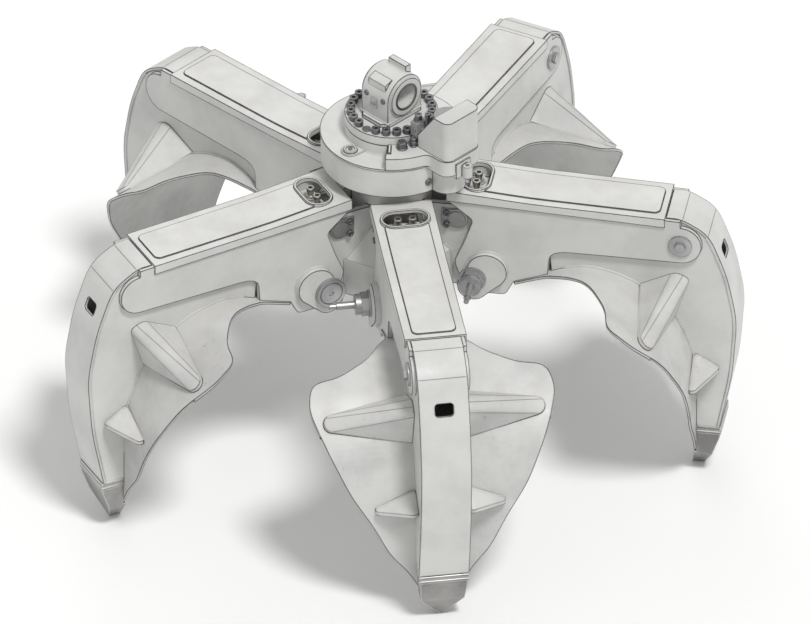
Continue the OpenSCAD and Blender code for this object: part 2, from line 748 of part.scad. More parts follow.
// Bent bowl plate with its two outer ribs on each side
module tine_shell(k) {
    shoulder = [[126, 105], [246, 105], [287, 126], [409, 186], [484, 299], [499, 384], [525, 411],
        [588, 425], [656, 397]];
    skirt = [[-62, 399], [-260, 306], [-393, 228], [-512, 173], [-580, 116], [-651, 75], [-668, 66]];
    color(steel) in_tine(k) {
        intersection() {
            across(-500, 500) polygon(concat(leaf_path, reversed(shift_path(leaf_path, leaf_t))));
            union() {
                level(-78, 120) polygon(mirrored(round_path(shoulder, bowl_bend)));
                translate([640, 0, 0]) rotate([0, 90, 0]) linear_extrude(200)
                    polygon([for (p = mirrored(round_path(skirt, bowl_bend))) [-p[0], p[1]]]);
            }
        }
        for (side = [0, 1]) mirror([0, side, 0]) {
            upper_rib();
            lower_rib();
        }
    }
}
function mirrored(p) = concat(p, [for (i = [len(p) - 1:-1:0]) [p[i][0], -p[i][1]]]);

// Tent of bent plate from the spine out to a rounded end on the bowl plate
module upper_rib() {
    far = 381;
    round_end = 30;
    slope = atan2(leaf_line[6][1] - leaf_line[5][1], leaf_line[6][0] - leaf_line[5][0]);
    along_leaf = leaf_line[5] + 0.47 * (leaf_line[6] - leaf_line[5]);
    hull() {
        across(spine_out + seat_gap, spine_out + 2)
            polygon(round_path([leaf_line[6], [744, 56], [695, 78], leaf_line[5]], 20, 3));
        translate([along_leaf[0], far - round_end, along_leaf[1]]) rotate([0, -slope, 0])
            translate([0, 0, -1]) cylinder(r = round_end, h = 15, $fn = 32);
    }
}
module lower_rib() {
    rib_t = 14;
    hull() for (p = [[766, 8, -262, 8], [826, 20, -302, 20], [770, 124, -320, 16]])
        translate([p[0], spine_out + p[1], p[2]]) cylinder(r = p[3], h = rib_t, center = true, $fn = 24);
}

// Forged tooth with a stub between the spine plates
module tine_tip(k) {
    inner = leaf_line[9][0];
    back = back_line[6][0];
    edge = [738, 780];
    shoulder_half = 75;
    collar_h = 38;
    groove = 4;
    low = spine_end - collar_h;
    color(shade) in_tine(k) {
        tooth_slab(inner + seat_gap, back + 4 - groove, tooth_half - groove, low - 1, spine_end - seat_gap);
        for (band = [0, 17]) tooth_slab(inner + seat_gap, back + 5, tooth_half, spine_end - band - 11,
            spine_end - band - seat_gap);
        hull() {
            tooth_slab(inner + seat_gap, back + 4 - groove, tooth_half - groove, low - 6, low);
            tooth_slab(inner + seat_gap, back - 26, shoulder_half, leaf_end - 4, leaf_end);
        }
        hull() {
            tooth_slab(inner - leaf_t, back - 26, shoulder_half, leaf_end - 6, leaf_end - seat_gap);
            tooth_slab(edge[0], edge[1], 2, tip_z, tip_z + 2);
        }
        tooth_slab(inner + 8, back - 12, spine_in - 4, spine_end - 10, spine_end + 80);
    }
}
module tooth_slab(from, to, half, low, high) {
    translate([from, -half, low]) cube([to - from, 2 * half, high - low]);
}

// Folded cover over the cylinder, with a lipped window and a raised panel
module tine_cover(k) {
    window = [1, 41, 36];
    panel_half = 76;
    panel_h = 5;
    lip = 9;
    lip_z = 326;
    color(steel) in_tine(k) difference() {
        union() {
            across(-cover_out, cover_out) polygon(band(0, cover_t));
            both_sides(cover_in, cover_out) polygon(concat(cover_path, [[659, 272], [-94, 301]]));
            intersection() {
                across(-panel_half, panel_half) polygon(band(-panel_h, 1));
                level(250, 400) round_box(20, 637, -panel_half, panel_half, 22);
            }
            intersection() {
                level(lip_z, lip_z + 17) stadium(window, lip);
                across(-cover_out, cover_out) polygon(band(-50, cover_t - 1));
            }
        }
        level(lip_z - 40, lip_z + 40) stadium(window, 0);
    }
}
function band(from, to) = concat(shift_path(cover_path, from), reversed(shift_path(cover_path, to)));
module stadium(s, grow) {
    for (side = [-1, 1]) translate([s[0], side * s[2]]) circle(s[1] + grow);
    translate([s[0] - s[1] - grow, -s[2]]) square([2 * (s[1] + grow), 2 * s[2]]);
}

// Pivot pin with its head on one side and the nut stack on the other
module tine_pivot_pin(k) {
    head_r = 55;
    color(dark) in_tine(k) {
        cross_pin(pivot_pin_d / 2, -doubler_out - 2, doubler_out + 2);
        difference() {
            cross_pin(head_r, doubler_out + seat_gap, doubler_out + 14);
            cross_pin(42, doubler_out + 11, doubler_out + 20);
        }
        difference() {
            cross_pin(40, doubler_out + 2, doubler_out + 14);
            cross_pin(9, doubler_out + 4, doubler_out + 20);
        }
        cross_pin(47, -doubler_out - 7, -doubler_out - seat_gap);
        translate([0, -doubler_out - 6, 0]) rotate([90, 0, 0]) hex(42, 25);
        cross_pin(36, -doubler_out - 51, -doubler_out - 30);
        cross_pin(13, -doubler_out - 116, -doubler_out - 50);
        cross_pin(9, -doubler_out - 140, -doubler_out - 115);
    }
}

// Rod pin, held by a collar and screw on one side
module tine_rod_pin(k) {
    color(dark) in_tine(k) {
        cross_pin(rod_pin_d / 2, -arm_out - 2, spine_out - seat_gap, rod_pin_at);
        cross_pin(41, -arm_out - 8, -arm_out - seat_gap, rod_pin_at);
        translate([rod_pin_at[0], -arm_out - 7, rod_pin_at[1]]) rotate([90, 0, 0]) hex(20, 11);
    }
}

// Cylinder barrel with its base eye, ports, line and gland
module cylinder_barrel(k) {
    gland = 50;
    base_wall = 75;
    gland_r = barrel_d / 2 + 6;
    color(shade) in_cylinder(k) difference() {
        union() {
            cross_pin(eye_r, -eye_half, eye_half);
            along(barrel_d / 2, 20, barrel_len);
            along(gland_r, barrel_len - gland + 15, barrel_len);
            for (x = [62, barrel_len - 70]) translate([x - 16, -16, 0]) cube([32, 32, barrel_d / 2 + 14]);
            translate([62, 0, barrel_d / 2]) for (s = [-22, 22]) translate([0, s, -12]) cylinder(r = 11, h = 34);
            translate([0, 0, barrel_d / 2 + 7]) along(6, 62, barrel_len - 70);
        }
        cross_pin(base_pin_d / 2 + run_gap, -eye_half - 1, eye_half + 1);
        along(cylinder_bore / 2, base_wall, barrel_len - gland);
        along(rod_d / 2 + run_gap, base_wall, barrel_len + 1);
    }
}

// Piston, rod and rod eye
module cylinder_rod(k) {
    piston = [85, 145];
    rod_eye_half = 40;
    rod_eye_r = rod_pin_d / 2 + eye_play + 12;
    color(bright) in_cylinder(k) difference() {
        union() {
            along(cylinder_bore / 2 - run_gap, piston[0], piston[1]);
            along(rod_d / 2, piston[0], cylinder_len - rod_eye_r + 8);
            cross_pin(rod_eye_r, -rod_eye_half, rod_eye_half, [cylinder_len, 0]);
        }
        cross_pin(rod_pin_d / 2 + eye_play, -rod_eye_half - 1, rod_eye_half + 1, [cylinder_len, 0]);
    }
}

hanger_head();
head_bolts();
slew_housing();
housing_plugs();
motor_bracket();
bracket_bolts();
slew_motor();
motor_guard();
slew_pinion();
slew_ring();
swivel_core();
slew_gear();
slew_balls();
ring_bolts();
hub_body();
hub_cover();
pivot_bushes();
base_pins();
swivel_sleeve();
hub_fittings();
for (k = [1:tine_n]) {
    tine_frame(k);
    tine_shell(k);
    tine_tip(k);
    tine_cover(k);
    tine_pivot_pin(k);
    tine_rod_pin(k);
    cylinder_barrel(k);
    cylinder_rod(k);
}
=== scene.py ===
import bpy
import bmesh
import json
from math import sin, cos, acos, pi, radians, atan2, hypot, sqrt
from mathutils import Matrix, Vector


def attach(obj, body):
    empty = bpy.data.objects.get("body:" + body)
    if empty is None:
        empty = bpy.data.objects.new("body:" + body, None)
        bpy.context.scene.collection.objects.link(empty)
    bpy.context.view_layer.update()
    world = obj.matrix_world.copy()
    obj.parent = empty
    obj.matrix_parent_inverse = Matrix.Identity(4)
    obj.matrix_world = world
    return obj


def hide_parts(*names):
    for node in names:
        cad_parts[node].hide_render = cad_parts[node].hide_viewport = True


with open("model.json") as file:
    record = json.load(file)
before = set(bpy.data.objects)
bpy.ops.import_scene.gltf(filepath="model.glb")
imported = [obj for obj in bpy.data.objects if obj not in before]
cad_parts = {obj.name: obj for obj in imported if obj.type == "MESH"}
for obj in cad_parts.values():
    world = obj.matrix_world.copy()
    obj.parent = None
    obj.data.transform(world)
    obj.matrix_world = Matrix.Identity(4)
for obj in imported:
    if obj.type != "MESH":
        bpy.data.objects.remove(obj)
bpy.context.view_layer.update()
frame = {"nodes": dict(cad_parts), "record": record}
print("grapple frame loaded:", len(frame["nodes"]), "nodes")

# Places in the part's frame, in metres. The origin is the hanger bore and the tips stand on the floor.
place = {
    "floorZ": -1.434,
    "pivotZ": -0.674,
    "pivotR": 0.298,
    "firstTine": 36.0,
    "tineStep": 72.0,
    "tines": 5,
}
tineNumbers = range(1, place["tines"] + 1)
millimetre = 0.001


# Camera of an isometric drawing: 45 degrees round, 35.26 degrees up, no perspective
camera = {
    "azimuth": 45.0,
    "elevation": 35.264,
    "imageWidth": 811,
    "metresPerPixel": 0.0034,
    "axisHeight": -0.932,
    "axisLeftOfCentre": 0.0476,
    "distance": 6.0,
    "clipEnd": 40.0,
}
az, el = radians(camera["azimuth"]), radians(camera["elevation"])
toRight = Vector((cos(az), sin(az), 0))
lookAlong = Vector((-sin(az) * cos(el), cos(az) * cos(el), -sin(el)))
lookAt = Vector((0, 0, camera["axisHeight"])) + camera["axisLeftOfCentre"] * toRight
camData = bpy.data.cameras.new("drawingCamera")
camData.type = "ORTHO"
camData.ortho_scale = camera["imageWidth"] * camera["metresPerPixel"]
camData.clip_end = camera["clipEnd"]
camObject = bpy.data.objects.new("drawingCamera", camData)
camObject.location = lookAt - camera["distance"] * lookAlong
camObject.rotation_euler = lookAlong.to_track_quat("-Z", "Y").to_euler()
bpy.context.scene.collection.objects.link(camObject)
bpy.context.scene.camera = camObject
print("camera set")


# Shader node groups for what the finishes share
def newGroup(name, inputs, outputs):
    group = bpy.data.node_groups.new(name, "ShaderNodeTree")
    for label, kind, value in inputs:
        socket = group.interface.new_socket(label, in_out="INPUT", socket_type=kind)
        socket.default_value = value
    for label, kind in outputs:
        group.interface.new_socket(label, in_out="OUTPUT", socket_type=kind)
    return group, group.nodes.new("NodeGroupInput"), group.nodes.new("NodeGroupOutput")


def mathNode(tree, operation, a, b, clamp=False):
    node = tree.nodes.new("ShaderNodeMath")
    node.operation = operation
    node.use_clamp = clamp
    for socket, value in zip(node.inputs, (a, b)):
        if isinstance(value, (int, float)):
            socket.default_value = value
        else:
            tree.links.new(value, socket)
    return node.outputs[0]


def rangeNode(tree, value, low, high, toLow=0.0, toHigh=1.0):
    node = tree.nodes.new("ShaderNodeMapRange")
    node.interpolation_type = "SMOOTHSTEP"
    tree.links.new(value, node.inputs["Value"])
    for label, number in (("From Min", low), ("From Max", high), ("To Min", toLow), ("To Max", toHigh)):
        node.inputs[label].default_value = number
    return node.outputs["Result"]


def noiseNode(tree, scale, detail=4.0, rough=0.6, stretch=None):
    node = tree.nodes.new("ShaderNodeTexNoise")
    node.inputs["Detail"].default_value = detail
    node.inputs["Roughness"].default_value = rough
    source = tree.nodes.new("ShaderNodeTexCoord").outputs["Object"]
    if stretch:
        mapping = tree.nodes.new("ShaderNodeMapping")
        mapping.inputs["Scale"].default_value = stretch
        tree.links.new(source, mapping.inputs["Vector"])
        source = mapping.outputs["Vector"]
    tree.links.new(source, node.inputs["Vector"])
    if isinstance(scale, (int, float)):
        node.inputs["Scale"].default_value = scale
    else:
        tree.links.new(scale, node.inputs["Scale"])
    return node.outputs["Fac"]


# Edge scuffs and painted shade: a mask along outer edges and inner corners alike, where a rounded edge would turn
# away from the face, broken up by noise. Where a finish puts a dark colour there it is painted shade, a dark line
# along each edge and into each inner corner; where a lighter one, real wear.
scuffShadeShape = {
    "samples": 8,
    "line": (0.006, 0.085),  # how far the normal turns where the line starts, and where it is full
    "chips": {"scale": 22.0, "detail": 6.0, "rough": 0.65},
    # Where the mask turns full: painted shade on the finishes with a dark edge colour, bare metal on those with a
    # lighter one
    "fullMark": (0.6, 0.92),
}


def makeEdgeScuffAndShade(w):
    group, gin, gout = newGroup("edgeScuffAndShade",
        [("Radius", "NodeSocketFloat", 0.004), ("Chips", "NodeSocketFloat", 0.5)],
        [("Mask", "NodeSocketFloat"), ("Normal", "NodeSocketVector")])
    bevel = group.nodes.new("ShaderNodeBevel")
    bevel.samples = w["samples"]
    group.links.new(gin.outputs["Radius"], bevel.inputs["Radius"])
    geometry = group.nodes.new("ShaderNodeNewGeometry")
    dot = group.nodes.new("ShaderNodeVectorMath")
    dot.operation = "DOT_PRODUCT"
    group.links.new(bevel.outputs["Normal"], dot.inputs[0])
    group.links.new(geometry.outputs["Normal"], dot.inputs[1])
    turned = mathNode(group, "SUBTRACT", 1.0, dot.outputs["Value"])
    line = rangeNode(group, turned, *w["line"])
    chips = mathNode(group, "MULTIPLY", noiseNode(group, **w["chips"]), gin.outputs["Chips"])
    mask = rangeNode(group, mathNode(group, "ADD", line, chips), *w["fullMark"])
    group.links.new(mask, gout.inputs["Mask"])
    group.links.new(bevel.outputs["Normal"], gout.inputs["Normal"])
    return group


# Grain: fine rolling texture, slow patches of tone, and streaks for scratches
grainShape = {
    "fineDetail": 3.0,
    "patchDetail": 5.0,
    "patchRough": 0.62,
    "streaks": {"scale": 60.0, "detail": 5.0, "rough": 0.7, "stretch": (1.0, 1.0, 0.08)},
    "scratches": (0.60, 0.74),
}


def makeGrain(g):
    group, gin, gout = newGroup("steelGrain",
        [("Fine Scale", "NodeSocketFloat", 400.0), ("Patch Scale", "NodeSocketFloat", 5.0)],
        [("Fine", "NodeSocketFloat"), ("Patches", "NodeSocketFloat"), ("Scratches", "NodeSocketFloat")])
    fine = noiseNode(group, gin.outputs["Fine Scale"], g["fineDetail"])
    patches = noiseNode(group, gin.outputs["Patch Scale"], g["patchDetail"], g["patchRough"])
    scratches = rangeNode(group, noiseNode(group, **g["streaks"]), *g["scratches"])
    group.links.new(fine, gout.inputs["Fine"])
    group.links.new(patches, gout.inputs["Patches"])
    group.links.new(scratches, gout.inputs["Scratches"])
    return group


# Dust: settles on faces that look up at rest, and gathers in patches
dustShape = {
    "up": (0.1, 0.95),
    "noise": {"scale": 9.0, "detail": 6.0, "rough": 0.6},
    "patches": (0.38, 0.72),
}


def makeDust(d):
    group, gin, gout = newGroup("yardDust", [("Amount", "NodeSocketFloat", 0.4)], [("Mask", "NodeSocketFloat")])
    coords = group.nodes.new("ShaderNodeTexCoord")
    split = group.nodes.new("ShaderNodeSeparateXYZ")
    group.links.new(coords.outputs["Normal"], split.inputs[0])
    up = rangeNode(group, split.outputs["Z"], *d["up"])
    patches = rangeNode(group, noiseNode(group, **d["noise"]), *d["patches"])
    mask = mathNode(group, "MULTIPLY", mathNode(group, "MULTIPLY", up, patches), gin.outputs["Amount"], True)
    group.links.new(mask, gout.inputs["Mask"])
    return group


edgeScuffAndShade, steelGrain, yardDust = makeEdgeScuffAndShade(scuffShadeShape), makeGrain(grainShape), makeDust(dustShape)


def groupNode(tree, group, **values):
    node = tree.nodes.new("ShaderNodeGroup")
    node.node_tree = group
    for label, value in values.items():
        node.inputs[label.replace("_", " ")].default_value = value
    return node


def mixColour(tree, mask, a, b):
    node = tree.nodes.new("ShaderNodeMix")
    node.data_type = "RGBA"
    colourA, colourB, mixed = node.inputs[6], node.inputs[7], node.outputs[2]  # the colour sockets of a Mix node
    tree.links.new(mask, node.inputs["Factor"])
    for socket, value in ((colourA, a), (colourB, b)):
        if isinstance(value, tuple):
            socket.default_value = (*value, 1.0)
        else:
            tree.links.new(value, socket)
    return mixed


# Finishes. Colours are what the surface shows under plain light, except the edge colours: where one is darker than
# its face, as on all the paints, it is painted shade, a dark line along edges and into inner corners; where
# lighter, as on the tooth, the dark fasteners and the gears, it is real wear.
finishes = {
    "painted_steel": {"colour": (0.65, 0.65, 0.632), "tone": (0.575, 0.575, 0.56), "scuffedAndShaded": (0.03, 0.031, 0.033),
        "rough": 0.44, "metal": 0.0, "scuffedAndShadedMetal": 0.1, "edge": 0.0078, "chips": 0.62, "grain": 420, "bump": 0.10,
        "dust": 0.32},
    "bowl_plate": {"colour": (0.61, 0.61, 0.595), "tone": (0.50, 0.50, 0.49), "scuffedAndShaded": (0.035, 0.035, 0.037),
        "rough": 0.48, "metal": 0.0, "scuffedAndShadedMetal": 0.1, "edge": 0.0078, "chips": 0.85, "grain": 300, "bump": 0.13,
        "dust": 0.42, "scratch": 0.55},
    "cover_paint": {"colour": (0.68, 0.68, 0.66), "tone": (0.61, 0.61, 0.595), "scuffedAndShaded": (0.03, 0.031, 0.033),
        "rough": 0.42, "metal": 0.0, "scuffedAndShadedMetal": 0.1, "edge": 0.0072, "chips": 0.5, "grain": 420, "bump": 0.09,
        "dust": 0.45},
    "tooth_steel": {"colour": (0.36, 0.355, 0.345), "tone": (0.22, 0.215, 0.21), "scuffedAndShaded": (0.62, 0.62, 0.61),
        "rough": 0.42, "metal": 0.85, "scuffedAndShadedMetal": 1.0, "edge": 0.006, "chips": 0.9, "grain": 160, "bump": 0.30,
        "dust": 0.15, "scratch": 0.8},
    "pin_steel": {"colour": (0.50, 0.50, 0.505), "tone": (0.36, 0.36, 0.365), "scuffedAndShaded": (0.12, 0.12, 0.125),
        "rough": 0.36, "metal": 0.9, "scuffedAndShadedMetal": 0.9, "edge": 0.0026, "chips": 0.35, "grain": 500, "bump": 0.08,
        "dust": 0.2},
    "dark_fastener": {"colour": (0.145, 0.147, 0.152), "tone": (0.09, 0.09, 0.095), "scuffedAndShaded": (0.42, 0.42, 0.42),
        "rough": 0.42, "metal": 0.8, "scuffedAndShadedMetal": 1.0, "edge": 0.0016, "chips": 0.5, "grain": 600, "bump": 0.06,
        "dust": 0.2},
    "motor_paint": {"colour": (0.30, 0.305, 0.31), "tone": (0.24, 0.243, 0.25), "scuffedAndShaded": (0.10, 0.10, 0.105),
        "rough": 0.45, "metal": 0.0, "scuffedAndShadedMetal": 0.8, "edge": 0.003, "chips": 0.5, "grain": 400, "bump": 0.1,
        "dust": 0.35},
    "gear_steel": {"colour": (0.48, 0.48, 0.485), "tone": (0.33, 0.32, 0.30), "scuffedAndShaded": (0.7, 0.7, 0.7),
        "rough": 0.3, "metal": 1.0, "scuffedAndShadedMetal": 1.0, "edge": 0.001, "chips": 0.4, "grain": 500, "bump": 0.05,
        "dust": 0.0},
    "machined_steel": {"colour": (0.55, 0.55, 0.56), "tone": (0.45, 0.45, 0.46), "scuffedAndShaded": (0.3, 0.3, 0.3),
        "rough": 0.28, "metal": 1.0, "scuffedAndShadedMetal": 1.0, "edge": 0.0015, "chips": 0.3, "grain": 700, "bump": 0.04,
        "dust": 0.0},
    "bronze_bush": {"colour": (0.56, 0.38, 0.17), "tone": (0.42, 0.27, 0.12), "scuffedAndShaded": (0.25, 0.17, 0.09),
        "rough": 0.33, "metal": 1.0, "scuffedAndShadedMetal": 1.0, "edge": 0.0015, "chips": 0.4, "grain": 500, "bump": 0.05,
        "dust": 0.0},
    "fitting_steel": {"colour": (0.50, 0.49, 0.45), "tone": (0.40, 0.385, 0.33), "scuffedAndShaded": (0.14, 0.14, 0.14),
        "rough": 0.34, "metal": 0.95, "scuffedAndShadedMetal": 1.0, "edge": 0.0018, "chips": 0.4, "grain": 500, "bump": 0.05,
        "dust": 0.15},
    "cylinder_paint": {"colour": (0.52, 0.525, 0.525), "tone": (0.44, 0.445, 0.445), "scuffedAndShaded": (0.09, 0.09, 0.095),
        "rough": 0.42, "metal": 0.0, "scuffedAndShadedMetal": 0.8, "edge": 0.003, "chips": 0.5, "grain": 420, "bump": 0.08,
        "dust": 0.3},
    "chrome_rod": {"colour": (0.80, 0.81, 0.82), "tone": (0.70, 0.71, 0.72), "scuffedAndShaded": (0.5, 0.5, 0.5),
        "rough": 0.14, "metal": 1.0, "scuffedAndShadedMetal": 1.0, "edge": 0.0015, "chips": 0.2, "grain": 800, "bump": 0.02,
        "dust": 0.0},
    "seam": {"colour": (0.30, 0.30, 0.30), "tone": (0.22, 0.22, 0.22), "scuffedAndShaded": (0.10, 0.10, 0.10),
        "rough": 0.5, "metal": 0.2, "scuffedAndShadedMetal": 0.7, "edge": 0.001, "chips": 0.4, "grain": 700, "bump": 0.1,
        "dust": 0.1},
    "weld": {"colour": (0.60, 0.60, 0.585), "tone": (0.42, 0.42, 0.41), "scuffedAndShaded": (0.12, 0.12, 0.12),
        "rough": 0.5, "metal": 0.1, "scuffedAndShadedMetal": 0.7, "edge": 0.0015, "chips": 0.6, "grain": 700, "bump": 0.3,
        "dust": 0.2},
}


# What all the finishes share: how the tone spreads, the dust, and how roughness and grain follow them
sharedFinish = {
    "patchScale": 5.0,
    "tone": (0.36, 0.70),
    "dust": (0.56, 0.535, 0.49),
    "dustRough": 0.35,
    "roughPatches": (0.3, 0.75),
    "smoother": 0.06,
    "rougher": 0.12,
    "grainDepth": 0.0012,
}


def makeFinish(name, f, shared):
    material = bpy.data.materials.new(name)
    material.use_nodes = True
    tree = material.node_tree
    shader = tree.nodes["Principled BSDF"]
    scuffShade = groupNode(tree, edgeScuffAndShade, Radius=f["edge"], Chips=f["chips"])
    grain = groupNode(tree, steelGrain, Fine_Scale=float(f["grain"]), Patch_Scale=shared["patchScale"])
    dust = groupNode(tree, yardDust, Amount=f["dust"])
    patches = rangeNode(tree, grain.outputs["Patches"], *shared["tone"])
    base = mixColour(tree, patches, f["colour"], f["tone"])
    dusty = mixColour(tree, dust.outputs["Mask"], base, shared["dust"])
    # Edges and inner corners, and scratches on some finishes, take the edge colour: painted shade where it is
    # darker than the face, real wear where it is lighter; the scratches are real wear.
    mask = scuffShade.outputs["Mask"]
    if "scratch" in f:
        scuffs = mathNode(tree, "MULTIPLY", grain.outputs["Scratches"], f["scratch"])
        mask = mathNode(tree, "MAXIMUM", mask, mathNode(tree, "MULTIPLY", scuffs, patches))
    tree.links.new(mixColour(tree, mask, dusty, f["scuffedAndShaded"]), shader.inputs["Base Color"])
    rough = rangeNode(tree, grain.outputs["Patches"], *shared["roughPatches"],
        f["rough"] - shared["smoother"], f["rough"] + shared["rougher"])
    dustRough = mathNode(tree, "MULTIPLY", dust.outputs["Mask"], shared["dustRough"])
    tree.links.new(mathNode(tree, "ADD", rough, dustRough, True), shader.inputs["Roughness"])
    tree.links.new(rangeNode(tree, mask, 0.0, 1.0, f["metal"], f["scuffedAndShadedMetal"]), shader.inputs["Metallic"])
    bump = tree.nodes.new("ShaderNodeBump")
    bump.inputs["Strength"].default_value = f["bump"]
    bump.inputs["Distance"].default_value = shared["grainDepth"]
    tree.links.new(grain.outputs["Fine"], bump.inputs["Height"])
    tree.links.new(scuffShade.outputs["Normal"], bump.inputs["Normal"])
    tree.links.new(bump.outputs["Normal"], shader.inputs["Normal"])
    return material


materials = {name: makeFinish(name, f, sharedFinish) for name, f in finishes.items()}
for part in frame["record"]["subparts"]:
    node = frame["nodes"][part["node"]]
    node.data.materials.clear()
    node.data.materials.append(materials[part["material_slot"]])


# Small mesh tools. Lengths in the pieces' dictionaries are millimetres, from the pivot pin for what a tine
# carries and from the hanger bore for what the head carries.
def addObject(name, mesh, body, finish):
    piece = bpy.data.objects.new(name, mesh)
    bpy.context.scene.collection.objects.link(piece)
    mesh.materials.clear()
    mesh.materials.append(materials[finish])
    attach(piece, body)
    return piece


def joinLists(parts):
    verts, faces = [], []
    for v, f in parts:
        faces += [tuple(i + len(verts) for i in face) for face in f]
        verts += v
    return verts, faces


def meshFrom(name, lists, smooth=False):
    verts, faces = joinLists(lists)
    mesh = bpy.data.meshes.new(name)
    mesh.from_pydata([Vector(v) * millimetre for v in verts], [], faces)
    bm = bmesh.new()
    bm.from_mesh(mesh)
    bmesh.ops.remove_doubles(bm, verts=bm.verts, dist=1e-6)
    bmesh.ops.recalc_face_normals(bm, faces=bm.faces)
    bm.to_mesh(mesh)
    bm.free()
    for polygon in mesh.polygons:
        polygon.use_smooth = smooth
    return mesh


def tineTurn(k):
    return Matrix.Rotation(radians(place["firstTine"] + place["tineStep"] * (k - 1)), 4, "Z")


def tineMatrix(k):
    return tineTurn(k) @ Matrix.Translation((place["pivotR"], 0, place["pivotZ"]))


# One copy of a mesh for each tine, which rides on the tine or on another body beside it
def onEachTine(name, mesh, finish, body="tine_{}"):
    for k in tineNumbers:
        copy = mesh.copy()
        copy.transform(tineMatrix(k))
        addObject(f"{name}_{k}", copy, body.format(k), finish)


# A tube with rippled rings, as a weld bead lies, drawn in at both ends
beadShape = {
    "up": (0.13, 0.31, 0.94),  # leans, so that hardly any path runs along it
    "nearlyAlong": 0.05,
    "endSize": 0.4,
}


def beadLists(path, radius, step=7.0, sides=6, ripple=0.18):
    points = [Vector(path[0])]
    for a, b in zip(path, path[1:]):
        a, b = Vector(a), Vector(b)
        count = max(1, round((b - a).length / step))
        points += [a.lerp(b, i / count) for i in range(1, count + 1)]
    verts, faces = [], []
    last = len(points) - 1
    for i, p in enumerate(points):
        ahead = (points[min(i + 1, last)] - points[max(i - 1, 0)]).normalized()
        side = ahead.cross(Vector(beadShape["up"]))
        if side.length <= beadShape["nearlyAlong"]:
            side = ahead.cross(Vector((1, 0, 0)))
        side.normalize()
        over = ahead.cross(side)
        size = radius * (1 + ripple * (1 if i % 2 else -1)) * (beadShape["endSize"] if i in (0, last) else 1)
        for j in range(sides):
            a = 2 * pi * j / sides
            verts.append(tuple(p + size * (cos(a) * side + sin(a) * over)))
    for i in range(last):
        for j in range(sides):
            a, b = i * sides + j, i * sides + (j + 1) % sides
            faces.append((a, b, b + sides, a + sides))
    faces.append(tuple(range(sides))[::-1])
    faces.append(tuple(range(last * sides, len(points) * sides)))
    return verts, faces


# Paths with their mirror images on the other side of the tine
def bothSides(paths):
    return paths + [[(r, -t, z) for r, t, z in path] for path in paths]


# A crease is a thin bead without ripple
def creaseMesh(name, paths, radius, step):
    return meshFrom(name, [beadLists(path, radius, step, ripple=0.0) for path in paths], smooth=True)


# Points on an arc, from one angle over a sweep
def arcPoints(centre, radius, start, sweep, steps):
    angles = [start + sweep * i / steps for i in range(steps + 1)]
    return [(centre[0] + radius * cos(a), centre[1] + radius * sin(a)) for a in angles]


# Smooth line through given corners, each rounded over the bend or over a share of a short side
bendSteps = 6


def roundLine(points, bend, share=0.4):
    out = [points[0]]
    for i in range(1, len(points) - 1):
        p = Vector(points[i])
        before, after = Vector(points[i - 1]) - p, Vector(points[i + 1]) - p
        a = p + before.normalized() * min(bend, before.length * share)
        c = p + after.normalized() * min(bend, after.length * share)
        steps = [j / bendSteps for j in range(bendSteps + 1)]
        out += [tuple((1 - s) ** 2 * a + 2 * s * (1 - s) * p + s * s * c) for s in steps]
    return out + [points[-1]]


# Height of a line at a reach, between its points
def heightAt(line, reach):
    for (x0, z0), (x1, z1) in zip(line, line[1:]):
        if x0 <= reach <= x1:
            return z0 + (z1 - z0) * (reach - x0) / (x1 - x0)
    return line[-1][1]


# Turned shape: a profile of (radius, distance along the axis) swept round
def turnedLists(profile, centre, axis, sides=28):
    along = Vector(axis).normalized()
    side = along.orthogonal().normalized()
    over = along.cross(side)
    verts, faces = [], []
    for radius, far in profile:
        for j in range(sides):
            a = 2 * pi * (j + 0.5) / sides
            verts.append(tuple(Vector(centre) + far * along + radius * (cos(a) * side + sin(a) * over)))
    for i in range(len(profile) - 1):
        for j in range(sides):
            a, b = i * sides + j, i * sides + (j + 1) % sides
            faces.append((a, b, b + sides, a + sides))
    if profile[0] != profile[-1]:
        faces.append(tuple(range(sides)))
        faces.append(tuple(range((len(profile) - 1) * sides, len(profile) * sides)))
    return verts, faces


# Outline raised in layers of (height, growth), for plates with an eased edge
def slabLists(outline, centre, layers):
    n = len(outline)
    cx, cy, cz = centre
    verts = [(cx + x * grow, cy + y * grow, cz + z) for z, grow in layers for x, y in outline]
    faces = [tuple(range(n)), tuple(range((len(layers) - 1) * n, len(layers) * n))]
    for level in range(len(layers) - 1):
        low, high = level * n, (level + 1) * n
        faces += [(low + i, low + (i + 1) % n, high + (i + 1) % n, high + i) for i in range(n)]
    return verts, faces


# Box in such layers, from its two ends in x and its two in y
def boxLists(box, layers):
    x0, x1, y0, y1 = box
    halfX, halfY = (x1 - x0) / 2, (y1 - y0) / 2
    corners = [(-halfX, -halfY), (halfX, -halfY), (halfX, halfY), (-halfX, halfY)]
    return slabLists(corners, ((x0 + x1) / 2, (y0 + y1) / 2, 0), layers)


# Closed path round an axis
def ringPath(radius, centre, axis, steps=96):
    along = Vector(axis).normalized()
    side = along.orthogonal().normalized()
    over = along.cross(side)
    angles = [2 * pi * i / steps for i in range(steps + 1)]
    return [tuple(Vector(centre) + radius * (cos(a) * side + sin(a) * over)) for a in angles]


# Lines of the tine that its pieces follow: reach from the pivot, and height over it
tineLines = {
    "leaf": [(139, -13), (243, 25), (328, 59), (396, 70), (484, 53), (569, 15), (695, -102), (756, -260),
        (764, -383), (764, -668)],
    "back": [(661, 301), (713, 301), (810, 243), (872, 76), (906, -104), (889, -332), (844, -556)],
    "bend": 60.0,
    "spineFace": 84.0,
    "spineEnd": -556.0,
}
leafLine = roundLine(tineLines["leaf"], tineLines["bend"])
backLine = roundLine(tineLines["back"], tineLines["bend"])
print("small tools ready")


